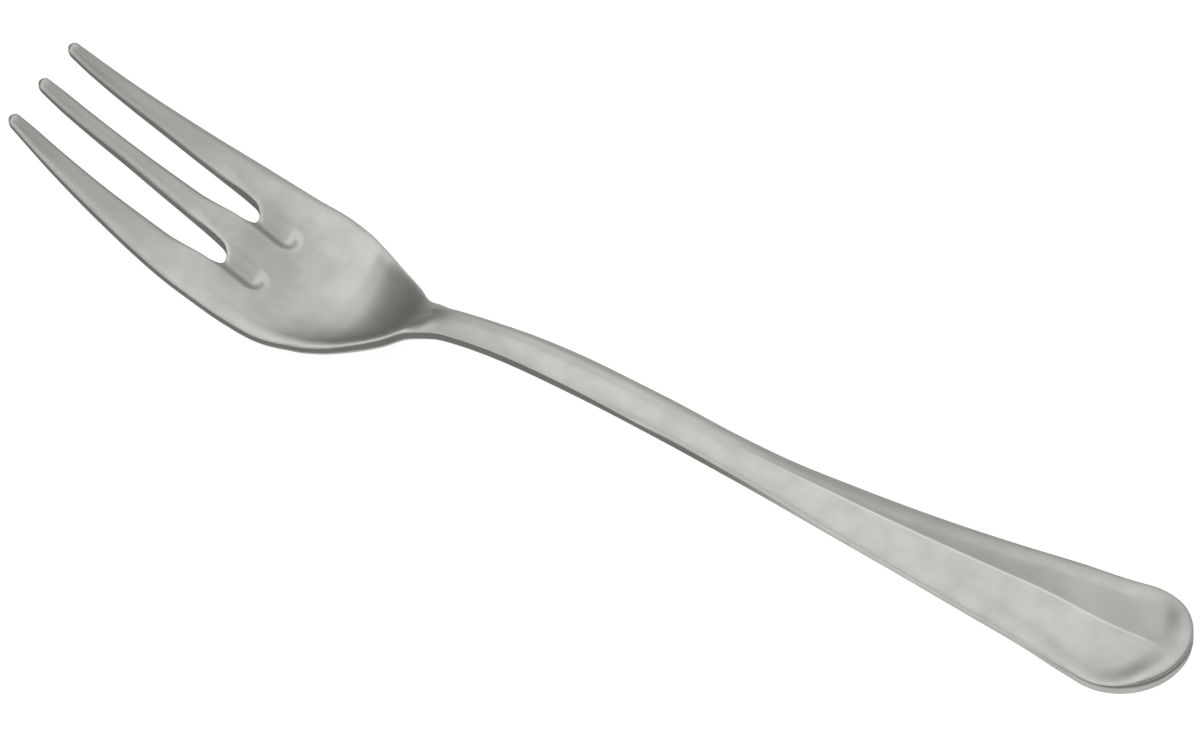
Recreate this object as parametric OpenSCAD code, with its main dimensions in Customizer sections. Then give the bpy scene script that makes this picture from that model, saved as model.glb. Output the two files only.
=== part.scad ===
// Three-tine pastry fork, stamped from one strip of stainless steel.
// The length runs along X with the tines at the low end, the width along Y and the height along Z.
// The fork lies face up, on the heel of its head and the back of its handle, both at Z = 0.
// Each region is a solid of its own that meets the next one at a flat cross-section.

/* [Lengths] */
// Length of the tines, from their tips to the ends of the slots
tine_length = 26.7; // [22:0.1:32]
// Length of the head, from the ends of the slots to the neck
head_length = 27.3; // [24:0.1:32]
// Length of the stem, from the neck to the start of the handle
stem_length = 44; // [30:0.5:60]
// Length of the handle, with its round end
handle_length = 52; // [44:0.5:66]
// Length of the half oval that ends the handle
end_length = 7.8; // [6:0.1:10]

/* [Widths] */
// Width of the head at its shoulder
head_width = 21.9; // [20:0.1:25]
// Width of the neck
neck_width = 4.1; // [3.4:0.1:6]
// Width of the stem where its sides run parallel
stem_width = 5.2; // [4:0.1:7]
// Greatest width of the handle
handle_width = 16.7; // [13:0.1:20]

/* [Tines and slots] */
// Distance from the middle tine to its neighbours at the tips
tine_spacing = 6.6; // [6:0.05:7]
// Width of each tine where its round tip starts
tip_width = 1.6; // [1.2:0.1:2]
// Length of the round tip of a tine
tip_round = 0.9; // [0.6:0.1:1.5]
// Distance between the centre lines of the slots at their closed ends
slot_spacing = 7.5; // [7:0.1:8]
// Width of a slot where its round end starts
slot_width = 3.2; // [2.4:0.1:3.6]
// Length of the pressed flute behind a slot
flute_length = 5.6; // [3:0.1:8]
// Width of a pressed flute
flute_width = 4; // [3:0.1:5]
// Depth of a pressed flute
flute_depth = 0.9; // [0.3:0.05:1]

/* [Thickness] */
// Thickness of the steel at the tips of the tines
tip_thickness = 1.3; // [1.1:0.05:1.8]
// Thickness of the steel half-way along the tines
tine_thickness = 1.9; // [1.6:0.05:2.5]
// Thickness of the steel in the dish of the head
head_thickness = 1.8; // [1.6:0.05:2.5]
// Thickness of the stem
stem_thickness = 2.7; // [2.4:0.05:3.5]
// Thickness of the handle at its rim
handle_thickness = 2.1; // [1.9:0.05:3]

/* [Heights above the table] */
// Height of the underside of the tips
tip_height = 18.1; // [12:0.1:24]
// Height of the underside at the ends of the slots
root_height = 5.3; // [3:0.1:7]
// Height of the underside of the neck
neck_height = 5.3; // [4:0.05:6]
// Height of the underside at the crest of the stem's arch
arch_height = 6.3; // [6:0.05:9]
// Height of the underside where the handle starts
grip_height = 2.5; // [1.5:0.1:3]

/* [Dish and rounding] */
// How far the rim of the head rises above the bottom of its dish
dish_depth = 2.6; // [1.5:0.1:3.5]
// How far the outer tines lie below the middle one
tine_droop = 0.75; // [0:0.05:1]
// Width of the rounding along the upper edge of the head and handle
rim_round = 1.7; // [1:0.1:2.2]
// Drop of the rounding along the upper edge of the head and tines
rim_drop = 0.85; // [0.4:0.05:0.95]
// Drop of the crowned face from its middle to its sides at the neck
crown_drop = 1.4; // [0.6:0.05:1.5]
// Drop of the crowned face where the sides of the stem run parallel
stem_drop = 1.7; // [0.8:0.05:1.75]
// Drop of the rounding along the sides of the handle
side_drop = 1; // [0.5:0.05:1.05]
// Drop of the rounding around the end of the handle
end_drop = 0.5; // [0.3:0.05:0.9]
// Rounding along the lower edges
back_round = 0.45; // [0.2:0.05:0.55]

/* [Ridge and hollows of the handle] */
// Depth of the hollows below the rim of the handle, near its end
hollow_depth = 0.75; // [0.3:0.05:0.95]
// Width of the wall that rises from the hollows to the rim
hollow_wall = 3.2; // [2:0.1:4]
// Height of the centre ridge above the hollows, near the end of the handle
ridge_height = 1.15; // [0.4:0.05:1.4]
// Length that the faint start of the ridge runs on to the stem
ridge_lead = 10; // [4:0.5:20]
// How far the back of the handle is dressed flat where it rests
land_depth = 0.12; // [0.05:0.01:0.2]

/* [Hidden] */

// Places along the fork, measured from the tips of the tines
slot_end = tine_length;
neck = slot_end + head_length;
grip = neck + stem_length;
overall = grip + handle_length;
end_centre = overall - end_length;

// Width of a slot at the tips
slot_mouth = tine_spacing - tip_width;

// Facets along and across the solids
tip_steps = 4;
tine_steps = 9;
slot_end_steps = 4;
flute_steps = 9;
head_steps = 15;
stem_steps = 24;
handle_steps = 25;
end_steps = 7;
round_steps = 4;
tine_columns = 2;
head_columns = 26;
handle_columns = 24;

// Outline of the tines, from the tip to the slot ends, and from tine spread to head width
tine_outline_shares = [[0, 0], [0.15, 0.18], [0.45, 0.505], [0.68, 0.745], [0.85, 0.895]];
// Outline of the head, from the slot ends to the neck, and from neck width to head width
head_outline_shares = [[0, 0.985], [0.13, 1], [0.31, 0.99], [0.49, 0.82], [0.67, 0.51], [0.78, 0.285],
    [0.855, 0.1], [0.92, 0.05]];
// Outline of the stem along its length, and from neck width to stem width
stem_outline_shares = [[0, 0], [0.14, 0.19], [0.25, 0.55], [0.4, 0.89], [0.6, 1], [0.8, 1.04]];
// Outline of the handle up to its round end, and from stem width to handle width
handle_outline_shares = [[0, 0.07], [0.16, 0.19], [0.38, 0.37], [0.61, 0.59], [0.83, 0.82], [0.93, 0.93],
    [1, 1], [1.1, 1]];
// Slot width along the tines, from slot_width to the open mouth
slot_shares = [[0, 1], [0.15, 0.77], [0.45, 0.8], [0.68, 0.605], [0.85, 0.395], [0.95, 0.18], [1, 0]];
// Height of the underside along each region, between the named heights at its ends
tine_height_shares = [[0, 1], [0.25, 0.71], [0.5, 0.455], [0.75, 0.22]];
heel_fall_shares = [[0, 1], [0.13, 0.67], [0.31, 0.27], [0.42, 0.08], [0.5, 0]];
heel_rise_shares = [[0.55, 0], [0.67, 0.12], [0.78, 0.4], [0.855, 0.65], [0.93, 0.87]];
arch_rise_shares = [[0, 0], [0.05, 0.4], [0.14, 0.82], [0.24, 1]];
arch_fall_shares = [[0.36, 0.97], [0.48, 0.9], [0.6, 0.79], [0.82, 0.55]];
grip_fall_shares = [[0, 1], [0.16, 0.79], [0.38, 0.555], [0.61, 0.345], [0.8, 0.21], [0.92, 0]];
// Rise of the rim above the centre line of the head, as shares of the dish depth
dish_shares = [[0, -0.06], [0.13, 0.205], [0.31, 0.655], [0.48, 1.02], [0.67, 0.865], [0.8, 0.47], [0.92, 0.12],
    [1, 0]];
// Droop of the outer tines, as shares of the full droop
droop_shares = [[0, 0.05], [0.5, 1], [0.75, 0.9]];
// Where the head takes the stem's thickness and crown
head_thicken_share = 0.72;
thicken = slot_end + head_length * head_thicken_share;
// How far the crown of the stem meets its sides at a corner instead of a rounding, along the stem
corner_shares = [[0, 0.7], [0.1, 1], [0.4, 1], [0.75, 0]];
// Where the crown of the stem starts to deepen and where it is deepest, and where the handle's sides end
crown_end_share = 0.35;
stem_drop_share = 0.62;
side_drop_share = 0.8;
// Width that the rounding of the upper edges could take at the stem, in widths of the stem
stem_round_share = 0.75;
// Growth of the ridge and of the hollows from the start of the handle to its round end
ridge_shares = [[0, 0.42], [0.4, 0.78], [0.72, 1], [1, 0.62], [1.1, 0.6]];
hollow_shares = [[0, 0.05], [0.2, 0.35], [0.5, 0.72], [1, 1], [1.1, 1]];
// Steepness of the flanks of the ridge next to its crest
ridge_power = 1.8;
// Share of a narrow piece's half width that its upper and lower roundings may take
upper_round_share = 0.85;
lower_round_share = 0.6;
// Width of the rim at the end of the hollows, as a share of the half width of the handle
rim_share = 0.16;
// Part of the way to the sides that counts as nearness to that rim: the hollows run out at the sides
hollow_side_share = 0.68;

// Smooth curve through a list of [place, value] points, level at every crest and hollow
function run(points, k) = points[k + 1][0] - points[k][0];
function grade(points, k) = (points[k + 1][1] - points[k][1]) / run(points, k);
function slope(points, k) =
    k == 0 ? grade(points, 0)
    : k == len(points) - 1 ? grade(points, k - 1)
    : grade(points, k - 1) * grade(points, k) <= 0 ? 0
    : (grade(points, k - 1) * run(points, k) + grade(points, k) * run(points, k - 1))
        / (run(points, k - 1) + run(points, k));
function curve(points, place) =
    let (
        passed = len([for (p = points) if (p[0] <= place) p]),
        k = max(0, min(len(points) - 2, passed - 1)),
        w = run(points, k),
        t = max(0, min(1, (place - points[k][0]) / w))
    )
    points[k][1] * (1 + 2 * t) * (1 - t) * (1 - t)
    + points[k + 1][1] * t * t * (3 - 2 * t)
    + slope(points, k) * w * t * (1 - t) * (1 - t)
    - slope(points, k + 1) * w * t * t * (1 - t);

// Lesser of two widths, with a smooth change from one to the other
function soft_min(a, b) = pow(pow(a, -4) + pow(b, -4), -1 / 4);
// Smooth step from 0 to 1 while t runs from 0 to 1
function ease(t) = let (u = max(0, min(1, t))) u * u * (3 - 2 * u);
function mix(a, b, share) = a + (b - a) * share;
// Points of a table of shares, placed along one region and between two values
function spread(shares, start, length, low, high) =
    [for (p = shares) [start + p[0] * length, mix(low, high, p[1])]];

// Half width of the fork's outline
outline_points = concat(
    spread(tine_outline_shares, 0, tine_length, tine_spacing + tip_width / 2, head_width / 2),
    spread(head_outline_shares, slot_end, head_length, neck_width / 2, head_width / 2),
    spread(stem_outline_shares, neck, stem_length, neck_width / 2, stem_width / 2),
    spread(handle_outline_shares, grip, end_centre - grip, stem_width / 2, handle_width / 2));
function half_width(s) = s > end_centre
    ? handle_width / 2 * sqrt(max(0, 1 - pow((s - end_centre) / end_length, 2)))
    : curve(outline_points, s);

// Height of the underside along the centre line
underside_points = concat(
    spread(tine_height_shares, 0, tine_length, root_height, tip_height),
    spread(heel_fall_shares, slot_end, head_length, 0, root_height),
    spread(heel_rise_shares, slot_end, head_length, 0, neck_height),
    spread(arch_rise_shares, neck, stem_length, neck_height, arch_height),
    spread(arch_fall_shares, neck, stem_length, 0, arch_height),
    spread(grip_fall_shares, grip, end_centre - grip, 0, grip_height),
    [[end_centre, -land_depth], [overall, -land_depth]]);
function underside(s) = curve(underside_points, s);

// Thickness of the steel, measured upright
thickness_points = [
    [0, tip_thickness],
    [tine_length / 2, tine_thickness],
    [slot_end, mix(tine_thickness, head_thickness, 1 / 2)],
    [slot_end + head_length / 2, head_thickness],
    [thicken, mix(head_thickness, stem_thickness, 1 / 4)],
    [neck, stem_thickness],
    [neck + stem_length / 2, stem_thickness],
    [mix(grip, end_centre, 1 / 2), handle_thickness],
    [end_centre, handle_thickness]];
function thickness(s) = curve(thickness_points, s);

// Rise of the edges above the centre line: a droop on the tines and a dish in the head
lift_points = concat(
    spread(droop_shares, 0, tine_length, 0, -tine_droop),
    spread(dish_shares, slot_end, head_length, 0, dish_depth),
    [[overall, 0]]);
function lift(s) = curve(lift_points, s);

// Width, drop and corner of the rounding along the upper edges
round_points = [
    [0, rim_round],
    [thicken, rim_round],
    [neck, stem_width * stem_round_share],
    [grip, stem_width * stem_round_share],
    [end_centre, rim_round]];
drop_points = [
    [0, rim_drop * tip_thickness / tine_thickness],
    [tine_length / 2, rim_drop],
    [thicken, rim_drop],
    [neck, crown_drop],
    [neck + stem_length * crown_end_share, crown_drop],
    [neck + stem_length * stem_drop_share, stem_drop],
    [grip, stem_drop],
    [mix(grip, end_centre, side_drop_share), side_drop],
    [end_centre, end_drop]];
corner_points = concat([[0, 0], [thicken, 0]], spread(corner_shares, neck, stem_length, 0, 1), [[overall, 0]]);

// Half width of a slot and the place of its centre line
slot_radius = slot_width / 2;
slot_round_start = slot_end - slot_radius;
slot_points = spread(slot_shares, 0, slot_round_start, slot_width, slot_mouth);
function slot_half(s) = s >= slot_end ? 0
    : s > slot_round_start ? sqrt(slot_radius * slot_radius - pow(s - slot_round_start, 2))
    : curve(slot_points, s) / 2;
function slot_centre(s) = mix(tine_spacing, slot_spacing, min(1, s / slot_end)) / 2;

// Depth of the pressed flutes that run on behind the slots
function flute(s, y) =
    let (
        past = max(0, s - slot_end - flute_length + flute_width / 2),
        off = abs(y) - slot_centre(s),
        share = (past * past + off * off) * 4 / flute_width / flute_width
    )
    share >= 1 ? 0 : flute_depth * pow(1 - share, 2) * ease(s / slot_end);

// Hollows on both sides of the centre ridge, and the scoop wall that ends them at the rim
ridge_start = grip - ridge_lead;
ridge_points = concat([[0, 0], [ridge_start, 0]],
    spread(ridge_shares, grip, end_centre - grip, 0, ridge_height));
hollow_points = concat([[0, 0], [ridge_start, 0]],
    spread(hollow_shares, grip, end_centre - grip, 0, hollow_depth));
function rim_gap(s, y) = s <= end_centre
    ? half_width(s) - abs(y) * hollow_side_share
    : handle_width / 2 - norm([(s - end_centre) * handle_width / 2 / end_length, y * hollow_side_share]);
function rim_width(s) = rim_share * half_width(min(s, end_centre));
function scoop(s, y) = ease((rim_gap(s, y) - rim_width(s)) / hollow_wall);
function flank(s, y) = pow(max(0, 1 - abs(y) / half_width(min(s, end_centre))), ridge_power);
function pressing(s, y) = s < ridge_start ? 0
    : curve(ridge_points, s) * flank(s, y) * scoop(s, 0)
        - curve(hollow_points, s) * scoop(s, y);

// Underside and upper face of the steel at any place
function back_face(s, y) = underside(s) + lift(s) * pow(y / max(half_width(s), tip_width), 2);
function front_face(s, y) = back_face(s, y) + thickness(s) - flute(s, y) + pressing(s, y);

// Drop of a rounding at one of its steps, and its width up to there, both as shares of the whole.
// corner is 0 for a quarter oval and 1 for a flatter crown that meets the side at a corner.
function round_drop(k, corner) = mix(1 - sin(90 * k / round_steps), pow(1 - k / round_steps, 2), corner);
function round_inset(k, corner) = mix(1 - cos(90 * k / round_steps), k / round_steps, corner);

// Upper or lower chain of a cross-section between two sides, from the low y to the high y.
// low and high hold the side, the width of its rounding, the drop of its rounding and its corner.
// turn is the outline's normal: [0, 1] square to the length, [1, 0] at the end of the handle.
function chain(s, low, high, turn, columns, upper) =
    let (
        point = function (x, y, drop)
            [x, y, upper ? front_face(x, y) - drop : back_face(x, y) + drop]
    )
    concat(
        [for (k = [0:round_steps]) point(
            s - low[1] * round_inset(k, low[3]) * turn[0],
            low[0] + low[1] * round_inset(k, low[3]) * turn[1],
            low[2] * round_drop(k, low[3]))],
        [for (k = [1:columns - 1]) point(
            s - low[1] * turn[0],
            mix(low[0] + low[1] * turn[1], high[0] - high[1] * turn[1], k / columns),
            0)],
        [for (k = [round_steps:-1:0]) point(
            s - high[1] * round_inset(k, high[3]) * turn[0],
            high[0] - high[1] * round_inset(k, high[3]) * turn[1],
            high[2] * round_drop(k, high[3]))]);

// Closed cross-section: the upper chain, then the lower chain run backwards
function reversed(points) = [for (k = [len(points) - 1:-1:0]) points[k]];
function section(s, upper_low, upper_high, lower_low, lower_high, turn, columns) = concat(
    chain(s, upper_low, upper_high, turn, columns, true),
    reversed(chain(s, lower_low, lower_high, turn, columns, false)));

// Cross-section of the undivided regions: head, stem and handle
function body_section(s, half, turn, columns) =
    let (
        room = half_width(min(s, end_centre)),
        wide = soft_min(curve(round_points, s), room * upper_round_share),
        upper = [wide, curve(drop_points, s), curve(corner_points, s)],
        lower = [min(back_round, room * lower_round_share), back_round, 0]
    )
    section(s, concat(-half, upper), concat(half, upper), concat(-half, lower), concat(half, lower),
        turn, columns);

// Cross-section of one tine between its two sides, drawn in towards its middle near the tip.
// A rounding beside a slot shrinks as the slot closes.
function tine_section(s, low, high) =
    let (
        half = (high - low) / 2,
        wide = soft_min(rim_round, half * upper_round_share),
        drop = curve(drop_points, s),
        under = min(back_round, half * lower_round_share),
        open = min(1, slot_half(s) / slot_radius),
        low_open = abs(low) < half_width(s) ? open : 1,
        high_open = abs(high) < half_width(s) ? open : 1,
        ring = section(s,
            [low, wide * low_open, drop * low_open, 0],
            [high, wide * high_open, drop * high_open, 0],
            [low, under * low_open, back_round * low_open, 0],
            [high, under * high_open, back_round * high_open, 0],
            [0, 1], tine_columns),
        middle = [s, (low + high) / 2, back_face(s, (low + high) / 2) + thickness(s) / 2],
        size = sqrt(max(0, 1 - pow(max(0, 1 - s / tip_round), 2)))
    )
    [for (p = ring) middle + (p - middle) * size];

// Places of the cross-sections
function places(start, stop, steps, first) = [for (k = [first:steps]) mix(start, stop, k / steps)];
tine_places = concat(
    [for (k = [0:tip_steps]) tip_round * (1 - cos(90 * k / tip_steps))],
    places(tip_round, slot_round_start, tine_steps, 1),
    [for (k = [1:slot_end_steps]) slot_round_start + slot_radius * sin(90 * k / slot_end_steps)]);
flute_end = slot_end + flute_length;
head_places = concat(
    places(slot_end, flute_end, flute_steps, 0),
    places(flute_end, neck, head_steps, 1));

// Solid through a list of cross-sections, closed by a strip at each end that isn't a point
function first_match(ring, p) = [for (k = [0:len(ring) - 1]) if (ring[k] == p) k][0];
function tidy_faces(faces) = [for (f = faces) if (f[0] != f[1] && f[1] != f[2] && f[2] != f[0]) f];
module loft(rings, close_start, close_stop) {
    count = len(rings[0]);
    last = len(rings) - 1;
    names = [for (i = [0:last]) [for (p = rings[i]) i * count + first_match(rings[i], p)]];
    sides = [for (i = [0:last - 1], j = [0:count - 1])
        let (a = names[i][j], b = names[i][(j + 1) % count],
            c = names[i + 1][(j + 1) % count], d = names[i + 1][j])
        each [[a, b, c], [a, c, d]]];
    start = close_start ? strip(names[0]) : [];
    stop = close_stop ? [for (f = strip(names[last])) reversed(f)] : [];
    polyhedron([for (ring = rings) each ring], tidy_faces(concat(sides, start, stop)));
}
function strip(ring) = [for (j = [0:len(ring) / 2 - 2])
    let (a = ring[j], b = ring[j + 1], c = ring[len(ring) - 2 - j], d = ring[len(ring) - 1 - j])
    each [[a, d, c], [a, c, b]]];

// One tine, given the sides of its cross-section at each place
module tine(sides) {
    translate([-overall / 2, 0, 0])
        loft([for (k = [0:len(sides) - 1]) tine_section(tine_places[k], sides[k][0], sides[k][1])],
            false, true);
}

// Tine on the left of someone who holds the fork by its handle
module tine_left() {
    color("silver")
        tine([for (s = tine_places) [-half_width(s), -slot_centre(s) - slot_half(s)]]);
}

module tine_middle() {
    color("silver")
        tine([for (s = tine_places) [slot_half(s) - slot_centre(s), slot_centre(s) - slot_half(s)]]);
}

module tine_right() {
    color("silver")
        tine([for (s = tine_places) [slot_centre(s) + slot_half(s), half_width(s)]]);
}

// Dished palm with the flutes behind the slots
module head() {
    color("silver")
        translate([-overall / 2, 0, 0])
            loft([for (s = head_places) body_section(s, half_width(s), [0, 1], head_columns)], true, true);
}

// Neck and arched shank with a crowned face
module stem() {
    color("silver")
        translate([-overall / 2, 0, 0])
            loft([for (s = places(neck, grip, stem_steps, 0))
                body_section(s, half_width(s), [0, 1], tine_columns)],
                true, true);
}

// Flared handle with a centre ridge, two hollows, a round end and a flat land on its back
module handle() {
    color("silver")
        difference() {
            translate([-overall / 2, 0, 0])
                loft(concat(
                    [for (s = places(grip, end_centre, handle_steps, 0))
                        body_section(s, half_width(s), [0, 1], handle_columns)],
                    [for (k = [1:end_steps])
                        let (
                            turn = 90 * k / end_steps,
                            across = [sin(turn) / end_length, 2 * cos(turn) / handle_width]
                        )
                        body_section(
                            end_centre + end_length * sin(turn),
                            handle_width / 2 * cos(turn),
                            across / norm(across),
                            handle_columns)]),
                    true, false);
            translate([0, 0, -overall / 2])
                cube(overall, center = true);
        }
}

tine_left();
tine_middle();
tine_right();
head();
stem();
handle();
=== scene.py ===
"""Three-tine pastry fork in satin stainless steel, with its studio."""

import bisect
import math

import bmesh
import bpy
from bpy.props import FloatProperty, FloatVectorProperty, PointerProperty
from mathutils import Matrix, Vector


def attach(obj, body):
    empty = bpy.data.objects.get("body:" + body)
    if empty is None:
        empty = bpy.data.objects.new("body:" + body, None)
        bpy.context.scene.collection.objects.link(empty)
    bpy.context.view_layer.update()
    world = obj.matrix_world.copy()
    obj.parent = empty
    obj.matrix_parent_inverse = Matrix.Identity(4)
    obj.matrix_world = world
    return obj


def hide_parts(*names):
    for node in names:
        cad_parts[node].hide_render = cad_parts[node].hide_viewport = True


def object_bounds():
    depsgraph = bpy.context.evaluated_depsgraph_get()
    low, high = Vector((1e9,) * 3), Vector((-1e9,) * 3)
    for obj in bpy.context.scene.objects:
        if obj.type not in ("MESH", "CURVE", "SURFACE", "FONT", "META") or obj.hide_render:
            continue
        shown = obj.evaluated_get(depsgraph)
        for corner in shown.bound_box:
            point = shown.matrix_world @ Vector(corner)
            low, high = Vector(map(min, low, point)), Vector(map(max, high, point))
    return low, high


bl_info = {
    "name": "Pastry fork",
    "version": (1, 0, 0),
    "blender": (4, 5, 0),
    "location": "3D Viewport > Sidebar > Pastry fork",
    "description": "Forms a stamped pastry fork and the table and light around it",
    "category": "Add Mesh",
}

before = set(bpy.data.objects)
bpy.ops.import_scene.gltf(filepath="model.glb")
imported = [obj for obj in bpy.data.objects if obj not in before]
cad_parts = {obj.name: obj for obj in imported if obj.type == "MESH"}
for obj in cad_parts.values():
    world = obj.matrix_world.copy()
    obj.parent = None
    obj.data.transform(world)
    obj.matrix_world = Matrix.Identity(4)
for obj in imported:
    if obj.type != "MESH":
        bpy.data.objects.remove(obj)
cad_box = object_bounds()

# Tables of (share of a region's length, share between the values at its ends)
TINE_OUTLINE = [(0, 0), (0.15, 0.18), (0.45, 0.505), (0.68, 0.745), (0.85, 0.895)]
HEAD_OUTLINE = [
    (0, 0.985), (0.13, 1), (0.31, 0.99), (0.49, 0.82),
    (0.67, 0.51), (0.78, 0.285), (0.855, 0.1), (0.92, 0.05),
]
STEM_OUTLINE = [(0, 0), (0.14, 0.19), (0.25, 0.55), (0.4, 0.89), (0.6, 1), (0.8, 1.04)]
HANDLE_OUTLINE = [
    (0, 0.07), (0.16, 0.19), (0.38, 0.37), (0.61, 0.59),
    (0.83, 0.82), (0.93, 0.93), (1, 1), (1.1, 1),
]
SLOT_OPENING = [(0, 1), (0.15, 0.77), (0.45, 0.8), (0.68, 0.605), (0.85, 0.395), (0.95, 0.18), (1, 0)]
TINE_HEIGHT = [(0, 1), (0.25, 0.71), (0.5, 0.455), (0.75, 0.22)]
HEEL_FALL = [(0, 1), (0.13, 0.67), (0.31, 0.27), (0.42, 0.08), (0.5, 0)]
HEEL_RISE = [(0.55, 0), (0.67, 0.12), (0.78, 0.4), (0.855, 0.65), (0.93, 0.87)]
ARCH_RISE = [(0, 0), (0.05, 0.4), (0.14, 0.82), (0.24, 1)]
ARCH_FALL = [(0.36, 0.97), (0.48, 0.9), (0.6, 0.79), (0.82, 0.55)]
GRIP_FALL = [(0, 1), (0.16, 0.79), (0.38, 0.555), (0.61, 0.345), (0.8, 0.21), (0.92, 0)]
DISH = [
    (0, -0.06), (0.13, 0.205), (0.31, 0.655), (0.48, 1.02),
    (0.67, 0.865), (0.8, 0.47), (0.92, 0.12), (1, 0),
]
DROOP = [(0, 0.05), (0.5, 1), (0.75, 0.9)]
RIDGE = [(0, 0.42), (0.4, 0.78), (0.72, 1), (1, 0.62), (1.1, 0.6)]
HOLLOW = [(0, 0.05), (0.2, 0.35), (0.5, 0.72), (1, 1), (1.1, 1)]
CORNER = [(0, 0.7), (0.1, 1), (0.4, 1), (0.75, 0)]

# Share of the head's length where its steel thickens, and how far it is thickened there
THICKEN_SHARE = 0.72
THICKEN_START = 0.25
# Shares of the stem's and the handle's length where the rounding changes
CROWN_END_SHARE = 0.35
STEM_DROP_SHARE = 0.62
SIDE_DROP_SHARE = 0.8
# Width of the stem's rounding, of its whole width
STEM_ROUND_SHARE = 0.75
# Most that a rounding takes of the half width: at the tips, elsewhere, and along the lower edges
TIP_ROUND_LIMIT = 0.55
ROUND_LIMIT = 0.85
BACK_ROUND_LIMIT = 0.6
# Share of the steel's thickness that is left at the very tip
TIP_REST = 0.25
# Steps of the slopes, and the distance at which vertices merge, as parts of the tip's rounding
SLOPE_STEPS = 10
MERGE_STEPS = 2000


def mix(a, b, share):
    """Value a share of the way from a to b."""
    return a + (b - a) * share


def ease(t):
    """Smooth step from 0 to 1 while t runs from 0 to 1."""
    t = max(0.0, min(1.0, t))
    return t * t * (3 - 2 * t)


def soft_min(a, b):
    """Lesser of two widths, with a smooth change from one to the other."""
    return (a**-4 + b**-4) ** -0.25


def spread(shares, start, length, low, high):
    """Points of a table, placed along one region and between two values."""
    return [(start + place * length, mix(low, high, share)) for place, share in shares]


class Curve:
    """Smooth curve through (place, value) points, level at every crest and hollow."""

    def __init__(self, points):
        self.places = [p[0] for p in points]
        self.values = [p[1] for p in points]
        runs = [b - a for a, b in zip(self.places, self.places[1:])]
        grades = [(b - a) / run for a, b, run in zip(self.values, self.values[1:], runs)]
        self.slopes = [grades[0]]
        for k in range(1, len(runs)):
            before, after = grades[k - 1], grades[k]
            level = before * after <= 0
            weighed = (before * runs[k] + after * runs[k - 1]) / (runs[k] + runs[k - 1])
            self.slopes.append(0.0 if level else weighed)
        self.slopes.append(grades[-1])

    def __call__(self, place):
        k = max(0, min(len(self.places) - 2, bisect.bisect_right(self.places, place) - 1))
        run = self.places[k + 1] - self.places[k]
        t = max(0.0, min(1.0, (place - self.places[k]) / run))
        return (
            self.values[k] * (1 + 2 * t) * (1 - t) ** 2
            + self.values[k + 1] * t * t * (3 - 2 * t)
            + self.slopes[k] * run * t * (1 - t) ** 2
            - self.slopes[k + 1] * run * t * t * (1 - t)
        )


def number_property(name, description, default, **settings):
    """Number that a user may change, from 0 unless said otherwise."""
    return FloatProperty(name=name, description=description, default=default, **{"min": 0.0, **settings})


def length_property(name, description, default):
    """Length in metres that a user may change."""
    return number_property(name, description, default, unit="LENGTH", subtype="DISTANCE")


def angle_property(name, description, degrees):
    """Angle that a user may change."""
    return number_property(name, description, math.radians(degrees), subtype="ANGLE")


def colour_property(name, description, default):
    """Colour that a user may change."""
    return FloatVectorProperty(
        name=name, description=description, default=default, subtype="COLOR", size=3, min=0, max=1
    )


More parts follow.
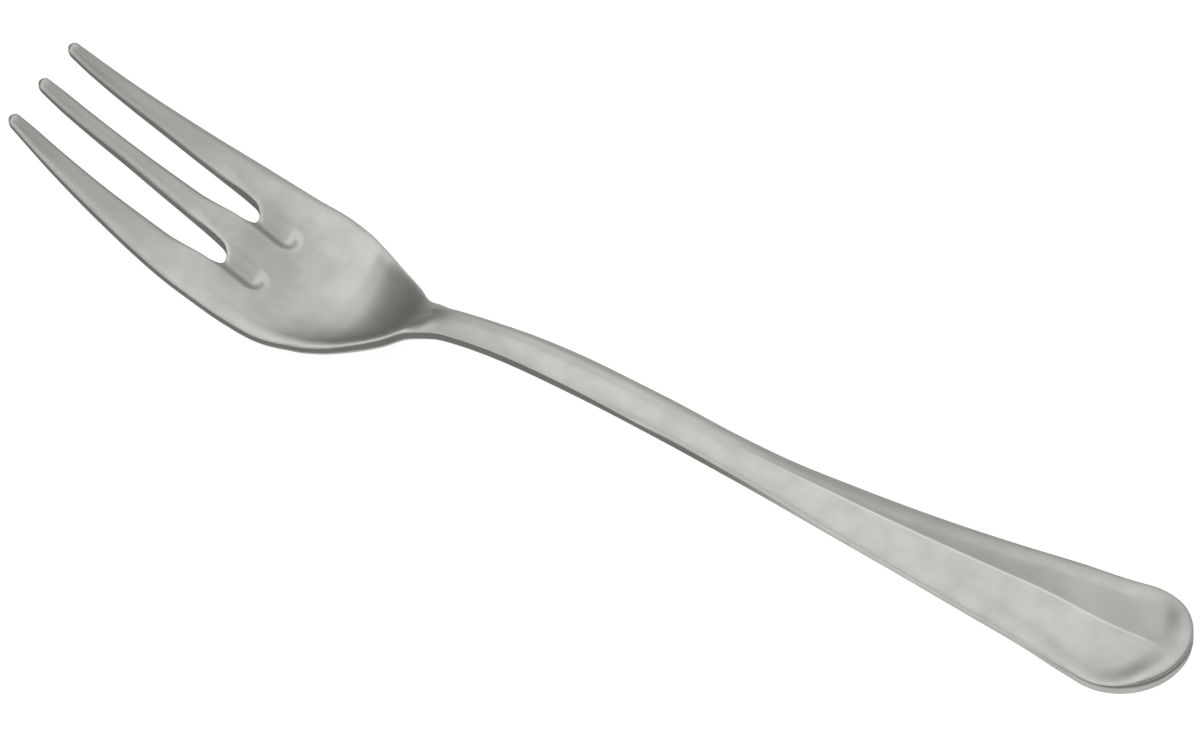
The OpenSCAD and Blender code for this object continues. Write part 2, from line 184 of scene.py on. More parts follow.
class ForkSizes(bpy.types.PropertyGroup):
    """Sizes of the fork."""

    tine_length: length_property("Tine length", "From the tips to the ends of the slots", 0.0267)
    head_length: length_property("Head length", "From the ends of the slots to the neck", 0.0273)
    stem_length: length_property("Stem length", "From the neck to the start of the handle", 0.044)
    handle_length: length_property("Handle length", "Handle with its round end", 0.052)
    end_length: length_property("End length", "Half oval that ends the handle", 0.0078)
    head_width: length_property("Head width", "Across the shoulder of the head", 0.0219)
    neck_width: length_property("Neck width", "Across the neck", 0.0041)
    stem_width: length_property("Stem width", "Where the sides of the stem run parallel", 0.0052)
    handle_width: length_property("Handle width", "Greatest width of the handle", 0.0167)
    tine_spacing: length_property("Tine spacing", "Middle tine to its neighbours at the tips", 0.0066)
    tip_width: length_property("Tip width", "Width of a tine where its round tip starts", 0.0016)
    tip_round: length_property("Tip round", "Length of the round tip of a tine", 0.0009)
    slot_spacing: length_property("Slot spacing", "Between the slots at their closed ends", 0.0075)
    slot_width: length_property("Slot width", "Where the round end of a slot starts", 0.0032)
    slot_rim: length_property("Slot rim", "Rounding around the closed end of a slot", 0.0005)
    slot_rim_drop: length_property("Slot rim drop", "Drop of the rounding around a slot's end", 0.00022)
    flute_length: length_property("Flute length", "Pressed flute behind a slot", 0.0056)
    flute_width: length_property("Flute width", "Width of a pressed flute", 0.004)
    flute_depth: length_property("Flute depth", "Depth of a pressed flute", 0.0009)
    tip_thickness: length_property("Tip thickness", "Steel at the tips of the tines", 0.0013)
    tine_thickness: length_property("Tine thickness", "Steel half-way along the tines", 0.0019)
    head_thickness: length_property("Head thickness", "Steel in the dish of the head", 0.0018)
    stem_thickness: length_property("Stem thickness", "Steel of the stem", 0.0027)
    handle_thickness: length_property("Handle thickness", "Steel at the rim of the handle", 0.0021)
    tip_height: length_property("Tip height", "Underside of the tips above the table", 0.0181)
    root_height: length_property("Root height", "Underside at the ends of the slots", 0.0053)
    neck_height: length_property("Neck height", "Underside of the neck", 0.0053)
    arch_height: length_property("Arch height", "Underside at the crest of the stem", 0.0063)
    grip_height: length_property("Grip height", "Underside where the handle starts", 0.0025)
    dish_depth: length_property("Dish depth", "Rim of the head above the bottom of its dish", 0.0026)
    tine_droop: length_property("Tine droop", "Outer tines below the middle one", 0.00075)
    rim_round: length_property("Rim round", "Width of the rounding along the upper edge", 0.0017)
    rim_drop: length_property("Rim drop", "Drop of the rounding along the head and tines", 0.00085)
    crown_drop: length_property("Crown drop", "Crowned face at the neck, middle to side", 0.0014)
    stem_drop: length_property("Stem drop", "Crowned face of the stem, middle to side", 0.0017)
    side_drop: length_property("Side drop", "Drop of the rounding along the sides of the handle", 0.001)
    end_drop: length_property("End drop", "Drop of the rounding around the end of the handle", 0.0005)
    back_round: length_property("Back round", "Rounding along the lower edges", 0.00045)
    hollow_depth: length_property("Hollow depth", "Hollows below the rim of the handle", 0.00075)
    hollow_wall: length_property("Hollow wall", "Wall that rises from the hollows to the rim", 0.0032)
    ridge_height: length_property("Ridge height", "Centre ridge above the hollows", 0.00115)
    ridge_lead: length_property("Ridge lead", "Faint start of the ridge on the stem", 0.01)
    ridge_softness: length_property("Ridge softness", "Rounding of the crest of the ridge", 0.00012)
    land_depth: length_property("Land depth", "Back of the handle dressed flat where it rests", 0.00012)
    ridge_power: number_property("Ridge power", "Steepness of the flanks at the crest", 1.8, min=1)
    rim_share: number_property("Rim share", "Rim that ends the hollows, of the half width", 0.16)
    side_share: number_property("Side share", "Nearness of the sides to that rim", 0.68)


class ForkForm:
    """Surfaces of the fork. s runs from the tips of the tines, y across from the centre line."""

    def __init__(self, sizes):
        self.sizes = sizes
        self.slot_end = sizes.tine_length
        self.neck = self.slot_end + sizes.head_length
        self.grip = self.neck + sizes.stem_length
        self.overall = self.grip + sizes.handle_length
        self.end_centre = self.overall - sizes.end_length
        self.slot_radius = sizes.slot_width / 2
        self.slot_start = self.slot_end - self.slot_radius
        self.ridge_start = self.grip - sizes.ridge_lead
        thicken = self.slot_end + sizes.head_length * THICKEN_SHARE
        handle_run = self.end_centre - self.grip
        tips = sizes.tine_spacing + sizes.tip_width / 2
        head, neck = sizes.head_width / 2, sizes.neck_width / 2
        stem, handle = sizes.stem_width / 2, sizes.handle_width / 2
        self.outline = Curve(
            spread(TINE_OUTLINE, 0, sizes.tine_length, tips, head)
            + spread(HEAD_OUTLINE, self.slot_end, sizes.head_length, neck, head)
            + spread(STEM_OUTLINE, self.neck, sizes.stem_length, neck, stem)
            + spread(HANDLE_OUTLINE, self.grip, handle_run, stem, handle)
        )
        self.underside = Curve(
            spread(TINE_HEIGHT, 0, sizes.tine_length, sizes.root_height, sizes.tip_height)
            + spread(HEEL_FALL, self.slot_end, sizes.head_length, 0, sizes.root_height)
            + spread(HEEL_RISE, self.slot_end, sizes.head_length, 0, sizes.neck_height)
            + spread(ARCH_RISE, self.neck, sizes.stem_length, sizes.neck_height, sizes.arch_height)
            + spread(ARCH_FALL, self.neck, sizes.stem_length, 0, sizes.arch_height)
            + spread(GRIP_FALL, self.grip, handle_run, 0, sizes.grip_height)
            + [(self.end_centre, -sizes.land_depth), (self.overall, -sizes.land_depth)]
        )
        self.thickness = Curve([
            (0, sizes.tip_thickness),
            (sizes.tine_length / 2, sizes.tine_thickness),
            (self.slot_end, mix(sizes.tine_thickness, sizes.head_thickness, 0.5)),
            (self.slot_end + sizes.head_length / 2, sizes.head_thickness),
            (thicken, mix(sizes.head_thickness, sizes.stem_thickness, THICKEN_START)),
            (self.neck, sizes.stem_thickness),
            (self.neck + sizes.stem_length / 2, sizes.stem_thickness),
            (mix(self.grip, self.end_centre, 0.5), sizes.handle_thickness),
            (self.end_centre, sizes.handle_thickness),
        ])
        self.lift = Curve(
            spread(DROOP, 0, sizes.tine_length, 0, -sizes.tine_droop)
            + spread(DISH, self.slot_end, sizes.head_length, 0, sizes.dish_depth)
            + [(self.overall, 0)]
        )
        self.round = Curve([
            (0, sizes.rim_round),
            (thicken, sizes.rim_round),
            (self.neck, sizes.stem_width * STEM_ROUND_SHARE),
            (self.grip, sizes.stem_width * STEM_ROUND_SHARE),
            (self.end_centre, sizes.rim_round),
        ])
        self.drop = Curve([
            (0, sizes.rim_drop * sizes.tip_thickness / sizes.tine_thickness),
            (sizes.tine_length / 2, sizes.rim_drop),
            (thicken, sizes.rim_drop),
            (self.neck, sizes.crown_drop),
            (self.neck + sizes.stem_length * CROWN_END_SHARE, sizes.crown_drop),
            (self.neck + sizes.stem_length * STEM_DROP_SHARE, sizes.stem_drop),
            (self.grip, sizes.stem_drop),
            (mix(self.grip, self.end_centre, SIDE_DROP_SHARE), sizes.side_drop),
            (self.end_centre, sizes.end_drop),
        ])
        crown = spread(CORNER, self.neck, sizes.stem_length, 0, 1)
        self.corner = Curve([(0, 0), (thicken, 0)] + crown + [(self.overall, 0)])
        mouth = sizes.tine_spacing - sizes.tip_width
        self.opening = Curve(spread(SLOT_OPENING, 0, self.slot_start, sizes.slot_width, mouth))
        start = [(0, 0), (self.ridge_start, 0)]
        self.ridge = Curve(start + spread(RIDGE, self.grip, handle_run, 0, sizes.ridge_height))
        self.hollow = Curve(start + spread(HOLLOW, self.grip, handle_run, 0, sizes.hollow_depth))

    def half_width(self, s):
        if s <= self.end_centre:
            return self.outline(s)
        past = min(1.0, (s - self.end_centre) / self.sizes.end_length)
        return self.sizes.handle_width / 2 * math.sqrt(1 - past * past)

    def slot_centre(self, s):
        return mix(self.sizes.tine_spacing, self.sizes.slot_spacing, min(1.0, s / self.slot_end)) / 2

    def tine_sides(self, s, tine):
        """Both sides of the left, middle or right tine."""
        centre, half = self.slot_centre(s), self.opening(s) / 2
        return (
            (-self.outline(s), -centre - half),
            (half - centre, centre - half),
            (centre + half, self.outline(s)),
        )[tine]

    def flute(self, s, y):
        """Depth of the pressed flutes that run on behind the slots."""
        sizes = self.sizes
        past = max(0.0, s - self.slot_end - sizes.flute_length + sizes.flute_width / 2)
        off = abs(y) - self.slot_centre(s)
        share = (past * past + off * off) * 4 / sizes.flute_width**2
        return 0.0 if share >= 1 else sizes.flute_depth * (1 - share) ** 2 * ease(s / self.slot_end)

    def rim_gap(self, s, y):
        """Distance from the rim that ends the hollows, which run out at the sides."""
        off = abs(y) * self.sizes.side_share
        if s <= self.end_centre:
            return self.half_width(s) - off
        half = self.sizes.handle_width / 2
        return half - math.hypot((s - self.end_centre) * half / self.sizes.end_length, off)

    def pressing(self, s, y):
        """Ridge and hollows of the handle, above and below its plain face."""
        if s < self.ridge_start:
            return 0.0
        sizes = self.sizes
        half = self.half_width(min(s, self.end_centre))
        rim = sizes.rim_share * half
        softness = sizes.ridge_softness
        off = math.hypot(y, softness) - softness
        flank = max(0.0, 1 - off / half) ** sizes.ridge_power
        stop = ease((self.rim_gap(s, 0) - rim) / sizes.hollow_wall)
        scoop = ease((self.rim_gap(s, y) - rim) / sizes.hollow_wall)
        return self.ridge(s) * flank * stop - self.hollow(s) * scoop

    def back_face(self, s, y):
        reach = max(self.half_width(s), self.sizes.tip_width)
        return self.underside(s) + self.lift(s) * (y / reach) ** 2

    def front_face(self, s, y):
        return self.back_face(s, y) + self.thickness(s) - self.flute(s, y) + self.pressing(s, y)

    def point(self, s, y, upper, drop=0.0):
        """Place on a face in the CAD's box, drawn in towards the middle of the steel near a tip."""
        back = self.back_face(s, y)
        z = self.front_face(s, y) - drop if upper else max(0.0, back + drop)
        if s < self.sizes.tip_round:
            middle = back + self.thickness(s) / 2
            past = 1 - s / self.sizes.tip_round
            z = middle + (z - middle) * max(TIP_REST, math.sqrt(max(0.0, 1 - past * past)))
        side, top = cad_box[1][1], cad_box[1][2]
        return Vector((s - self.overall / 2, max(-side, min(side, y)), min(top, z)))


class Edge:
    """Place on the outline with the outward normal there and the roundings of its two edges."""

    def __init__(self, s, y, turn, upper, lower, corner=0.0):
        size = math.hypot(*turn)
        self.s, self.y, self.turn = s, y, (turn[0] / size, turn[1] / size)
        self.upper, self.lower = upper, lower
        self.corner = corner

    def inset(self, width):
        return self.s - self.turn[0] * width, self.y - self.turn[1] * width


class ForkPlan:
    """Rows and columns of the fork's faces in plan. Both ends and the slots bow the rows."""

    TINE_COLUMNS = 12
    SLOT_COLUMNS = 14
    # Rows along the tines, the head, the stem and the handle, and those that bow with a round tip
    ROWS = (80, 84, 70, 104)
    TIP_ROWS = 6
    # Runs over which the plan changes: tip widths behind a tip, radii before a slot's end,
    # parts of the head behind the flutes, and half ovals before the handle's round end
    TIP_RUN = 4
    SLOT_RUN = 3
    SETTLE_RUN = 1.4
    END_RUN = 3
    # Spacing of the columns at the ridge, of that at the sides
    RIDGE_SPACING = 0.25

    def __init__(self, form):
        self.form = form
        sizes = form.sizes
        counts = [self.TINE_COLUMNS, self.SLOT_COLUMNS] * 2 + [self.TINE_COLUMNS]
        self.borders = [sum(counts[:k]) for k in range(len(counts) + 1)]
        self.columns = self.borders[-1]
        stops = [sizes.tip_round, form.slot_start, form.neck, form.grip, form.end_centre]
        self.bases = [stops[0]]
        for count, start, end in zip(self.ROWS, stops, stops[1:]):
            self.bases += [mix(start, end, n / count) for n in range(1, count + 1)]
        self.rows = len(self.bases) - 1
        self.slot_row = self.ROWS[0]
        self.edges = {}
        for row in range(self.rows + 1):
            for column in range(self.columns + 1):
                edge = self.edge(row, column)
                if edge:
                    self.edges[row, column] = edge

    def group(self, column):
        """Strip of columns that a column is in, and how far across it lies."""
        k = min(len(self.borders) - 2, bisect.bisect_right(self.borders, column) - 1)
        return k, (column - self.borders[k]) / (self.borders[k + 1] - self.borders[k])

    def side(self, s, tine, high):
        """Edge at one side of a tine."""
        form, sizes = self.form, self.form.sizes
        low_y, high_y = form.tine_sides(s, tine)
        step = sizes.tip_round / SLOPE_STEPS
        after, before = form.tine_sides(s + step, tine)[high], form.tine_sides(s - step, tine)[high]
        slope = (after - before) / (2 * step)
        sign = 1 if high else -1
        half = (high_y - low_y) / 2
        share = mix(TIP_ROUND_LIMIT, ROUND_LIMIT, ease(s / (self.TIP_RUN * sizes.tip_width)))
        near = ease(1 - (form.slot_start - s) / (self.SLOT_RUN * form.slot_radius))
        if tine == 0 and not high or tine == 2 and high:
            width = soft_min(sizes.rim_round, mix(half * share, form.outline(s) * ROUND_LIMIT, near))
            drop = form.drop(s)
        else:
            width = mix(soft_min(sizes.rim_round, half * share), sizes.slot_rim, near)
            drop = mix(form.drop(s), sizes.slot_rim_drop, near)
        under = min(sizes.back_round, half * BACK_ROUND_LIMIT)
        turn = (-sign * slope, sign)
        return Edge(s, (low_y, high_y)[high], turn, (width, drop), (under, sizes.back_round))

    def body_side(self, s, sign):
        """Edge at one side of the head, stem or handle."""
        form, sizes = self.form, self.form.sizes
        step = sizes.tip_round / SLOPE_STEPS
        slope = (form.outline(s + step) - form.outline(s - step)) / (2 * step)
        half = form.outline(s)
        upper = (soft_min(form.round(s), half * ROUND_LIMIT) / math.hypot(slope, 1), form.drop(s))
        lower = (min(sizes.back_round, half * BACK_ROUND_LIMIT), sizes.back_round)
        return Edge(s, sign * half, (-slope, sign), upper, lower, form.corner(s))

    def edge(self, row, column):
        """Edge that a row and column lie on, if they do."""
        form, sizes = self.form, self.form.sizes
        k, across = self.group(column)
        border = across == 0 or column == self.columns
        if row == 0 and (k % 2 == 0 or border):
            tine, share = k // 2, 1.0 if k % 2 else across
            low, high = form.tine_sides(sizes.tip_round, tine)
            half = (high - low) / 2
            angle = math.pi * (share - 0.5)
            rim = self.side(sizes.tip_round, tine, 1 if tine == 2 else 0)
            return Edge(
                sizes.tip_round * (1 - math.cos(angle)),
                (low + high) / 2 + half * math.sin(angle),
                (-math.cos(angle) / sizes.tip_round, math.sin(angle) / half),
                rim.upper,
                rim.lower,
            )
        if row <= self.slot_row and border:
            if column in (0, self.columns):
                return self.side(self.bases[row], *((0, 0) if column == 0 else (2, 1)))
            if row < self.slot_row:
                return self.side(self.bases[row], k // 2, k % 2)
        if row == self.slot_row and (k % 2 == 1 or border):
            slot, share = (k, across) if k % 2 == 1 else (k - 1, 1.0)
            angle = math.pi * (share - 0.5)
            centre = form.slot_centre(form.slot_start) * (-1 if slot == 1 else 1)
            return Edge(
                form.slot_start + form.slot_radius * math.cos(angle),
                centre + form.slot_radius * math.sin(angle),
                (-math.cos(angle), -math.sin(angle)),
                (sizes.slot_rim, sizes.slot_rim_drop),
                (sizes.back_round, sizes.back_round),
            )
        if row == self.rows:
            angle = math.asin(max(-1.0, min(1.0, self.handle_share(column))))
            half = sizes.handle_width / 2
            rim = self.body_side(form.end_centre, 1)
            return Edge(
                form.end_centre + sizes.end_length * math.cos(angle),
                half * math.sin(angle),
                (math.cos(angle) / sizes.end_length, math.sin(angle) / half),
                rim.upper,
                rim.lower,
            )
        if row > self.slot_row and column in (0, self.columns):
            return self.body_side(self.bases[row], -1 if column == 0 else 1)
        return None

    def handle_share(self, column):
        """Place across the handle from -1 to 1, close together at the ridge."""
        v = 2 * column / self.columns - 1
        return math.copysign(math.sin(math.pi / 2 * abs(v) * mix(self.RIDGE_SPACING, 1, abs(v))), v)

    def inset(self, row, column, upper):
        edge = self.edges[row, column]
        return edge.inset((edge.upper if upper else edge.lower)[0])

    def tine_place(self, row, column, upper):
        """Place inside a tine."""
        k, across = self.group(column)
        if k % 2:
            k, across = k - 1, 1.0
        low = self.inset(row, self.borders[k], upper)
        high = self.inset(row, self.borders[k + 1], upper)
        bow = max(0.0, 1 - row / self.TIP_ROWS)
        tip = self.inset(0, self.borders[k] + round(across * self.TINE_COLUMNS), upper)
        share = mix(across, 0.5 + 0.5 * math.sin(math.pi * (across - 0.5)), bow)
        bulge = (tip[0] - self.bases[0]) * bow * bow
        return mix(low[0], high[0], across) + bulge, mix(low[1], high[1], share)

    def slot_share(self, column, upper):
        """Place across the head from -1 to 1 in the row of the slot ends."""
        reach = self.inset(self.slot_row, self.columns, upper)[1]
        if (self.slot_row, column) in self.edges:
            return self.inset(self.slot_row, column, upper)[1] / reach
        return self.tine_place(self.slot_row, column, upper)[1] / reach

    def body_place(self, row, column, upper):
        """Place inside the head, stem or handle."""
        form = self.form
        base = self.bases[row]
        high = self.inset(row, self.columns, upper)
        end = self.inset(self.rows, column, upper)
        behind = base - form.slot_end - form.sizes.flute_length
        settle = ease(behind / form.sizes.head_length * self.SETTLE_RUN)
        share = mix(self.slot_shares[upper][column], self.handle_share(column), settle)
        end_bow = max(0.0, 1 - (form.end_centre - base) / (self.END_RUN * form.sizes.end_length)) ** 2
        share = mix(share, end[1] / self.inset(self.rows, self.columns, upper)[1], end_bow)
        s = base + (high[0] - base) * ease(abs(share))
        slot_bow = max(0.0, 1 - (base - form.slot_start) / (form.sizes.head_length / 2)) ** 2
        s += self.slot_bulges[upper][column] * slot_bow
        return s + (end[0] - form.end_centre) * end_bow, high[1] * share

    def prepare(self):
        """Works out once what every row of the body shares."""
        self.slot_shares, self.slot_bulges = {}, {}
        for upper in (True, False):
            self.slot_shares[upper] = [self.slot_share(c, upper) for c in range(self.columns + 1)]
            self.slot_bulges[upper] = [
                self.inset(self.slot_row, c, upper)[0] - self.form.slot_start
                if (self.slot_row, c) in self.edges and 0 < c < self.columns
                else 0.0
                for c in range(self.columns + 1)
            ]

    def place(self, row, column, upper):
        """Place of a row and column in plan, inside the rounding of the edge."""
        if (row, column) in self.edges:
            return self.inset(row, column, upper)
        if row <= self.slot_row:
            return self.tine_place(row, column, upper)
        return self.body_place(row, column, upper)


# Places of the rings around the edges: on the upper rounding from its inner side outwards,
# down the wall, and on the lower rounding from the wall inwards
ROUND_RINGS = (0.9, 0.8, 0.7, 0.6, 0.5, 0.4, 0.3, 0.2, 0.1, 0.03, 0)
WALL_RINGS = (0.05, 0.35, 0.65, 0.95, 1)
BACK_RINGS = (0.2, 0.4, 0.6, 0.8, 1)


def round_profile(place, corner):
    """Width and drop at a place on a rounding, of the whole: a quarter oval, or a crown with a corner."""
    angle = math.pi / 2 * place
    return mix(1 - math.cos(angle), place, corner), mix(1 - math.sin(angle), (1 - place) ** 2, corner)


def form_fork(sizes):
    """Mesh of the whole fork: both faces from one grid, joined around every edge."""
    form = ForkForm(sizes)
    plan = ForkPlan(form)
    plan.prepare()
    mesh = bmesh.new()
    row_of = mesh.verts.layers.int.new("row")
    column_of = mesh.verts.layers.int.new("column")
    bmesh.ops.create_grid(mesh, x_segments=plan.rows, y_segments=plan.columns, size=0.5)
    for vert in mesh.verts:
        vert[row_of] = round((vert.co.x + 0.5) * plan.rows)
        vert[column_of] = round((vert.co.y + 0.5) * plan.columns)
    open_faces = []
    for face in mesh.faces:
        row = min(vert[row_of] for vert in face.verts)
        column = min(vert[column_of] for vert in face.verts)
        if row < plan.slot_row and plan.group(column)[0] % 2:
            open_faces.append(face)
    bmesh.ops.delete(mesh, geom=open_faces, context="FACES")

    copied = bmesh.ops.duplicate(mesh, geom=mesh.verts[:] + mesh.edges[:] + mesh.faces[:])["geom"]
    back = {item for item in copied if isinstance(item, bmesh.types.BMVert)}
    bmesh.ops.reverse_faces(mesh, faces=[item for item in copied if isinstance(item, bmesh.types.BMFace)])
    for vert in mesh.verts:
        upper = vert not in back
        s, y = plan.place(vert[row_of], vert[column_of], upper)
        vert.co = form.point(s, y, upper)

    rings = [(True, place, 0.0) for place in ROUND_RINGS]
    rings += [(True, 0.0, wall) for wall in WALL_RINGS]
    rings += [(False, place, 0.0) for place in BACK_RINGS]
    edges = [e for e in mesh.edges if e.is_boundary and not back.intersection(e.verts)]
    rims = {vert for e in mesh.edges if e.is_boundary for vert in e.verts}
    for upper, place, wall in rings:
        made = bmesh.ops.extrude_edge_only(mesh, edges=edges)["geom"]
        ring = {item for item in made if isinstance(item, bmesh.types.BMVert)}
        made_edges = [item for item in made if isinstance(item, bmesh.types.BMEdge)]
        edges = [edge for edge in made_edges if ring.issuperset(edge.verts)]
        for vert in ring:
            edge = plan.edges[vert[row_of], vert[column_of]]
            width, drop = edge.upper if upper else edge.lower
            inward, fallen = round_profile(place, edge.corner if upper else 0.0)
            s, y = edge.inset(width * inward)
            vert.co = form.point(s, y, upper, drop * fallen)
            if wall:
                vert.co = vert.co.lerp(form.point(s, y, False, edge.lower[1]), wall)
    rims |= ring
    rims = [vert for vert in rims if vert.is_valid and vert.is_boundary]
    bmesh.ops.remove_doubles(mesh, verts=rims, dist=sizes.tip_round / MERGE_STEPS)
    bmesh.ops.recalc_face_normals(mesh, faces=mesh.faces[:])
    for face in mesh.faces:
        face.smooth = True
    return mesh


class FORK_OT_body(bpy.types.Operator):
    """Forms the fork, one seamless piece of steel"""

    bl_idname = "fork.body"
    bl_label = "Fork body"

    def execute(self, context):
        mesh = form_fork(context.scene.fork_sizes)
        data = bpy.data.meshes.new("fork_body")
        mesh.to_mesh(data)
        mesh.free()
        body = bpy.data.objects.new("fork_body", data)
        context.scene.collection.objects.link(body)
        data.materials.append(satin_steel(context.scene.fork_finish, context.scene.fork_sizes))
        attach(body, "root")
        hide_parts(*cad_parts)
        return {"FINISHED"}


class SteelFinish(bpy.types.PropertyGroup):
    """Finish of the steel, with the colours of its painted shade and highlight."""

    colour: colour_property("Satin steel", "Colour of the satin faces", (0.62, 0.61, 0.585))
    dull_colour: colour_property("Dull steel", "Colour of the satin's duller clouds", (0.575, 0.57, 0.54))
    # Painted shade on the tines, darker towards the tips
    tine_shade_colour: colour_property("Tines", "Painted shade that darkens the tines towards the tips", (0.53, 0.53, 0.505))
    # Painted shade on the blanked side walls
    wall_shade_colour: colour_property("Painted wall shade", "Painted shade on the blanked side walls", (0.22, 0.215, 0.205))
    # Painted highlight along the ridge's crest
    crest_highlight_colour: colour_property("Painted crest highlight", "Painted highlight along the ridge's crest", (0.7, 0.69, 0.67))
    edge_tint: colour_property("Edge tint", "Tint of the steel at a glancing view", (0.35, 0.35, 0.345))
    roughness: number_property("Roughness", "Roughness of the satin faces", 0.4, max=1)
    cut_roughness: number_property("Cut roughness", "Roughness of the side walls", 0.58, max=1)
    # Also lessens the painted wall shade on the handle's sides
    side_polish_unshaded: number_property("Side polish, unshaded", "How far the handle's sides are polished and spared the painted wall shade", 0.75, max=1)
    bump_strength: number_property("Bump strength", "Strength of the brushing and grain", 0.12, max=1)
    bump_depth: length_property("Bump depth", "Depth of the brushing and grain", 0.00004)


def add_node(tree, kind, **values):
    """New node with its settings."""
    node = tree.nodes.new(kind)
    for name, value in values.items():
        setattr(node, name, value)
    return node


def join(tree, source, target):
    """Links a socket, or sets a plain value."""
    if isinstance(source, bpy.types.NodeSocket):
        tree.links.new(source, target)
    else:
        target.default_value = source


def calculate(tree, operation, a, b=None, c=None):
    """Result of a math node."""
    node = add_node(tree, "ShaderNodeMath", operation=operation)
    for source, target in zip((a, b, c), node.inputs):
        if source is not None:
            join(tree, source, target)
    return node.outputs[0]


def remap(tree, value, low, high, to_low=0.0, to_high=1.0):
    """Value eased from one range to another."""
    node = add_node(tree, "ShaderNodeMapRange", interpolation_type="SMOOTHSTEP")
    for source, target in zip((value, low, high, to_low, to_high), node.inputs):
        join(tree, source, target)
    return node.outputs["Result"]


# Sockets of a mix node that take and give colours
MIX_COLOURS = (6, 7)
MIX_RESULT = 2


def blend_colours(tree, share, low, high):
    """Colour between two others."""
    node = add_node(tree, "ShaderNodeMix", data_type="RGBA")
    join(tree, share, node.inputs["Factor"])
    for source, target in ((low, node.inputs[MIX_COLOURS[0]]), (high, node.inputs[MIX_COLOURS[1]])):
        join(tree, source if isinstance(source, bpy.types.NodeSocket) else (*source, 1), target)
    return node.outputs[MIX_RESULT]


# Stretch of the brushing along X, and the part of a noise that is spread from 0 to 1
BRUSH_STRETCH = (0.03, 1, 1)
NOISE_SPAN = (0.3, 0.7)


def cloudy_grain():
    """Node group for soft clouds, brushing along X and fine grain, all from 0 to 1."""
    group = bpy.data.node_groups.new("cloudy_grain", "ShaderNodeTree")
    sockets = group.interface
    sockets.new_socket("Vector", in_out="INPUT", socket_type="NodeSocketVector")
    for name, amount in (("Cloud scale", 300.0), ("Brush scale", 2400.0), ("Grain scale", 5200.0)):
        sockets.new_socket(name, in_out="INPUT", socket_type="NodeSocketFloat").default_value = amount
    for name in ("Clouds", "Brushing", "Grain"):
        sockets.new_socket(name, in_out="OUTPUT", socket_type="NodeSocketFloat")
    given = add_node(group, "NodeGroupInput")
    result = add_node(group, "NodeGroupOutput")
    stretch = add_node(group, "ShaderNodeVectorMath", operation="MULTIPLY")
    stretch.inputs[1].default_value = BRUSH_STRETCH
    join(group, given.outputs["Vector"], stretch.inputs[0])
    for name, scale, vector, detail in (
        ("Clouds", "Cloud scale", given.outputs["Vector"], 3.0),
        ("Brushing", "Brush scale", stretch.outputs[0], 2.0),
        ("Grain", "Grain scale", given.outputs["Vector"], 1.0),
    ):
        noise = add_node(group, "ShaderNodeTexNoise")
        noise.inputs["Detail"].default_value = detail
        join(group, vector, noise.inputs["Vector"])
        join(group, given.outputs[scale], noise.inputs["Scale"])
        join(group, remap(group, noise.outputs[0], *NOISE_SPAN), result.inputs[name])
    return group


def frame_middle(sizes):
    """Half of the fork's length, which is where X is zero."""
    return (sizes.tine_length + sizes.head_length + sizes.stem_length + sizes.handle_length) / 2


# Where the masks of the steel start and where they are full
WALL_SHADE_SPAN = (0.36, 0.12)  # upright part of the normal
RIDGE_FACE_SPAN = (0.3, 0.6)  # upright part of the normal
CREST_SPAN = (2.2, 0.4)  # distance from the centre line, of the ridge's softness
RIDGE_END_SPAN = (1.8, 1)  # distance from the handle's end, of the hollows' wall
ROUND_END_SPAN = (2, 1)  # distance from the handle's end, of its half oval
FOOT_SPAN = (0.32, 0.5)  # height, of the grip's height
TINE_SHADE_SPAN = 0.5  # length over which painted shade darkens the tines towards the tips, of their own
# Shares of the brushing and the clouds in the tone of the satin
BRUSH_TONE, CLOUD_TONE = 0.2, 0.8
# How far the tone, the grain and the rubbed ridge change the roughness
TONE_GLOSS, GRAIN_DULLNESS, RIDGE_GLOSS = 0.08, 0.05, 0.1
# Height of the grain, of that of the brushing
GRAIN_HEIGHT = 0.5


